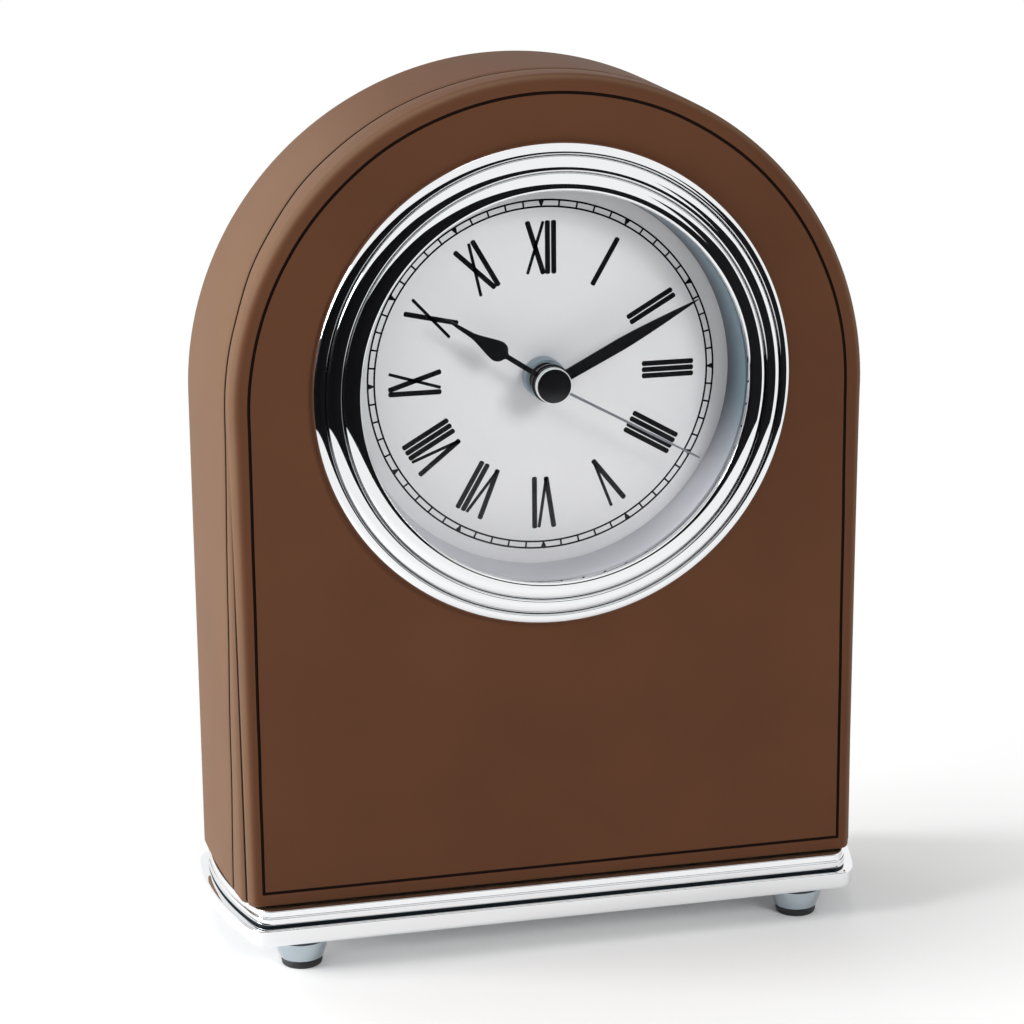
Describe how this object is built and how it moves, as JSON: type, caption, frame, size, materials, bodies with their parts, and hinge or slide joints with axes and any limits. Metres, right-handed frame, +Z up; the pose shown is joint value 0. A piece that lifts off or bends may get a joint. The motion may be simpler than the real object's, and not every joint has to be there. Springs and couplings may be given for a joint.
{
  "type": "dome desk clock",
  "caption": "Arched leather-covered desk clock with a beaded chrome bezel, Roman dial and battery movement, on a stepped chrome base with cup feet.",
  "frame": {"origin": "centre of the object's outline on the surface that the rubber foot pads stand on", "axes": "+Z up, -Y is the way the dial faces, +X is to the right of someone facing the dial"},
  "size_m": [0.1218, 0.0428, 0.1587],
  "materials": {
    "wood": "raw fibre board under the leather",
    "leather": "smooth brown leather with a soft sheen and a dark line round the front",
    "leather_back": "plain brown leather",
    "chrome": "polished chrome",
    "screw_steel": "plated steel",
    "glass": "clear flat lens",
    "pale_wall": "pale blue-grey satin wall",
    "dial_face": "matt white with black numerals and minute track",
    "black_plastic": "moulded black",
    "rubber": "black rubber",
    "iron": "stamped soft iron",
    "copper": "enamelled copper wire",
    "board": "green board with a black blob",
    "tin": "tinned steel",
    "battery_jacket": "plain metal jacket with no label",
    "wheel_plastic": "pale moulded plastic",
    "magnet": "dark sintered magnet",
    "brass": "turned brass",
    "hand_black": "gloss black",
    "hand_steel": "dark silver-grey"
  },
  "bodies": {
    "case": {"case_core": "wood", "front_cover": "leather", "side_wrap": "leather", "back_panel": "leather_back", "base_plate": "chrome", "base_screw_left": "screw_steel", "base_screw_right": "screw_steel", "foot_cup_front_left": "chrome", "foot_cup_front_right": "chrome", "foot_cup_rear_left": "chrome", "foot_cup_rear_right": "chrome", "foot_pad_front_left": "rubber", "foot_pad_front_right": "rubber", "foot_pad_rear_left": "rubber", "foot_pad_rear_right": "rubber"},
    "insert": {"bezel": "chrome", "lens": "glass", "wall_ring": "pale_wall", "dial": "dial_face", "housing": "black_plastic", "gasket": "rubber", "movement_front": "black_plastic", "movement_case": "black_plastic", "coil_core": "iron", "coil": "copper", "stator": "iron", "circuit_board": "board", "crystal": "tin", "contact_plus": "tin", "contact_minus": "tin"},
    "battery": {"battery": "battery_jacket"},
    "seconds": {"second_wheel": "wheel_plastic", "second_hand": "hand_steel", "cap": "chrome", "cap_face": "hand_black"},
    "third": {"third_wheel": "wheel_plastic"},
    "centre": {"centre_wheel": "wheel_plastic"},
    "step": {"step_wheel": "wheel_plastic"},
    "rotor": {"rotor_pinion": "wheel_plastic", "rotor_magnet": "magnet"},
    "minutes": {"minute_arbor": "brass", "minute_hand": "hand_black"},
    "motion": {"motion_wheel": "wheel_plastic"},
    "hours": {"hour_wheel": "wheel_plastic", "hour_hand": "hand_black"},
    "setting": {"set_arbor": "wheel_plastic", "set_knob": "black_plastic"}
  },
  "joints": [
    {"name": "insert_slide", "type": "slide", "parent": "case", "child": "insert", "axis": [0, -1, 0], "range_m": [0, 0.04]},
    {"name": "battery_slide", "type": "slide", "parent": "insert", "child": "battery", "axis": [0, 1, 0], "range_m": [0, 0.03]},
    {"name": "second_spin", "type": "hinge", "parent": "insert", "child": "seconds", "pos_m": [0, 0, 0.10426], "axis": [0, 1, 0], "continuous": true},
    {"name": "third_spin", "type": "hinge", "parent": "insert", "child": "third", "pos_m": [-0.00958, 0, 0.10775], "axis": [0, 1, 0], "continuous": true},
    {"name": "centre_spin", "type": "hinge", "parent": "insert", "child": "centre", "pos_m": [0, 0, 0.10426], "axis": [0, 1, 0], "continuous": true},
    {"name": "step_spin", "type": "hinge", "parent": "insert", "child": "step", "pos_m": [0.00694, 0, 0.11253], "axis": [0, 1, 0], "continuous": true},
    {"name": "rotor_spin", "type": "hinge", "parent": "insert", "child": "rotor", "pos_m": [0.01534, 0, 0.11253], "axis": [0, 1, 0], "continuous": true},
    {"name": "minute_spin", "type": "hinge", "parent": "insert", "child": "minutes", "pos_m": [0, 0, 0.10426], "axis": [0, 1, 0], "continuous": true},
    {"name": "motion_spin", "type": "hinge", "parent": "insert", "child": "motion", "pos_m": [0.008, 0, 0.10426], "axis": [0, 1, 0], "continuous": true},
    {"name": "hour_spin", "type": "hinge", "parent": "insert", "child": "hours", "pos_m": [0, 0, 0.10426], "axis": [0, 1, 0], "continuous": true},
    {"name": "set_spin", "type": "hinge", "parent": "insert", "child": "setting", "pos_m": [0.01646, 0, 0.10118], "axis": [0, 1, 0], "continuous": true}
  ],
  "couplings": [
    {"joint": "third_spin", "follows": "second_spin", "ratio": -0.13333},
    {"joint": "centre_spin", "follows": "second_spin", "ratio": 0.016667},
    {"joint": "step_spin", "follows": "second_spin", "ratio": -5},
    {"joint": "rotor_spin", "follows": "second_spin", "ratio": 30},
    {"joint": "motion_spin", "follows": "minute_spin", "ratio": -0.33333},
    {"joint": "hour_spin", "follows": "minute_spin", "ratio": 0.083333},
    {"joint": "set_spin", "follows": "minute_spin", "ratio": 0.66667}
  ]
}
